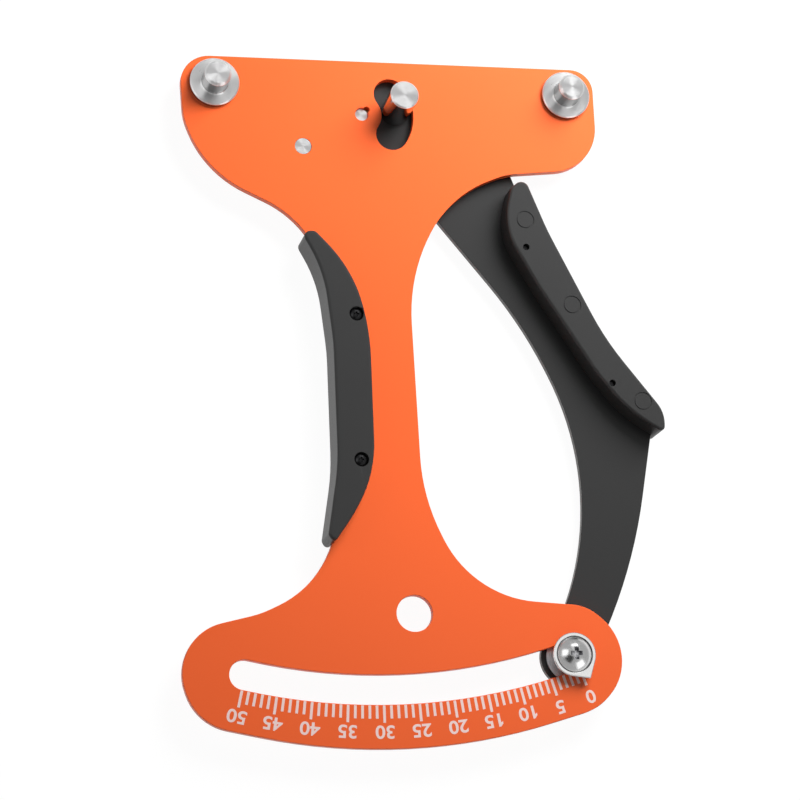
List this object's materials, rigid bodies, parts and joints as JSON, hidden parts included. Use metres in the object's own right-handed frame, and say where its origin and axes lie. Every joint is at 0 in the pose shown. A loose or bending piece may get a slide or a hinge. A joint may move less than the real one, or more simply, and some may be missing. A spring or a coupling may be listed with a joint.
{
  "type": "spoke tension meter",
  "caption": "Flat hand gauge with a row of posts, a sprung swing arm with a pointer over an arc scale, and two moulded grips to squeeze together.",
  "frame": {"origin": "middle of the tool's footprint on the surface that it lies on, face up", "axes": "+Z out of the scale side of the plate, +Y along the neck from the scale towards the row of posts, +X along the row of posts towards the swing arm's grip"},
  "size_m": [0.1364, 0.1948, 0.0191],
  "materials": {
    "plate": "satin orange coating with a fine grain",
    "arm": "matt black coating",
    "grip": "matt dark grey moulding",
    "turned_steel": "turned, with rings on the end faces",
    "pointer_steel": "smooth bright plated",
    "washer_steel": "bright plated",
    "dark_screw": "black oxide",
    "bush": "plain bearing bronze",
    "spring_wire": "drawn spring wire"
  },
  "bodies": {
    "plate": {"face_plate": "plate", "left_fixed_post": "turned_steel", "right_fixed_post": "turned_steel", "post_washers": "washer_steel", "fixed_post_screws": "dark_screw", "left_grip_front": "grip", "left_grip_back": "grip", "left_grip_screws": "dark_screw", "spring_anchor": "turned_steel", "pivot_pin": "turned_steel", "pivot_washer": "washer_steel", "pivot_clip": "washer_steel", "return_spring": "spring_wire"},
    "arm": {"swing_arm": "arm", "pivot_bush": "bush", "moving_post": "turned_steel", "moving_post_screw": "dark_screw", "spring_peg": "turned_steel", "right_grip_front": "grip", "right_grip_back": "grip", "right_grip_screws": "dark_screw", "pointer_post": "turned_steel", "pointer": "pointer_steel", "pointer_screw": "pointer_steel"}
  },
  "joints": [
    {"name": "arm_swing", "type": "hinge", "parent": "plate", "child": "arm", "pos_m": [-0.01413, 0.08158, 0.0035], "axis": [0, 0, -1], "range_deg": [0, 32.3], "stiffness_Nm_per_rad": 0.63, "springref_deg": -40.11, "deforming": ["return_spring"]}
  ]
}
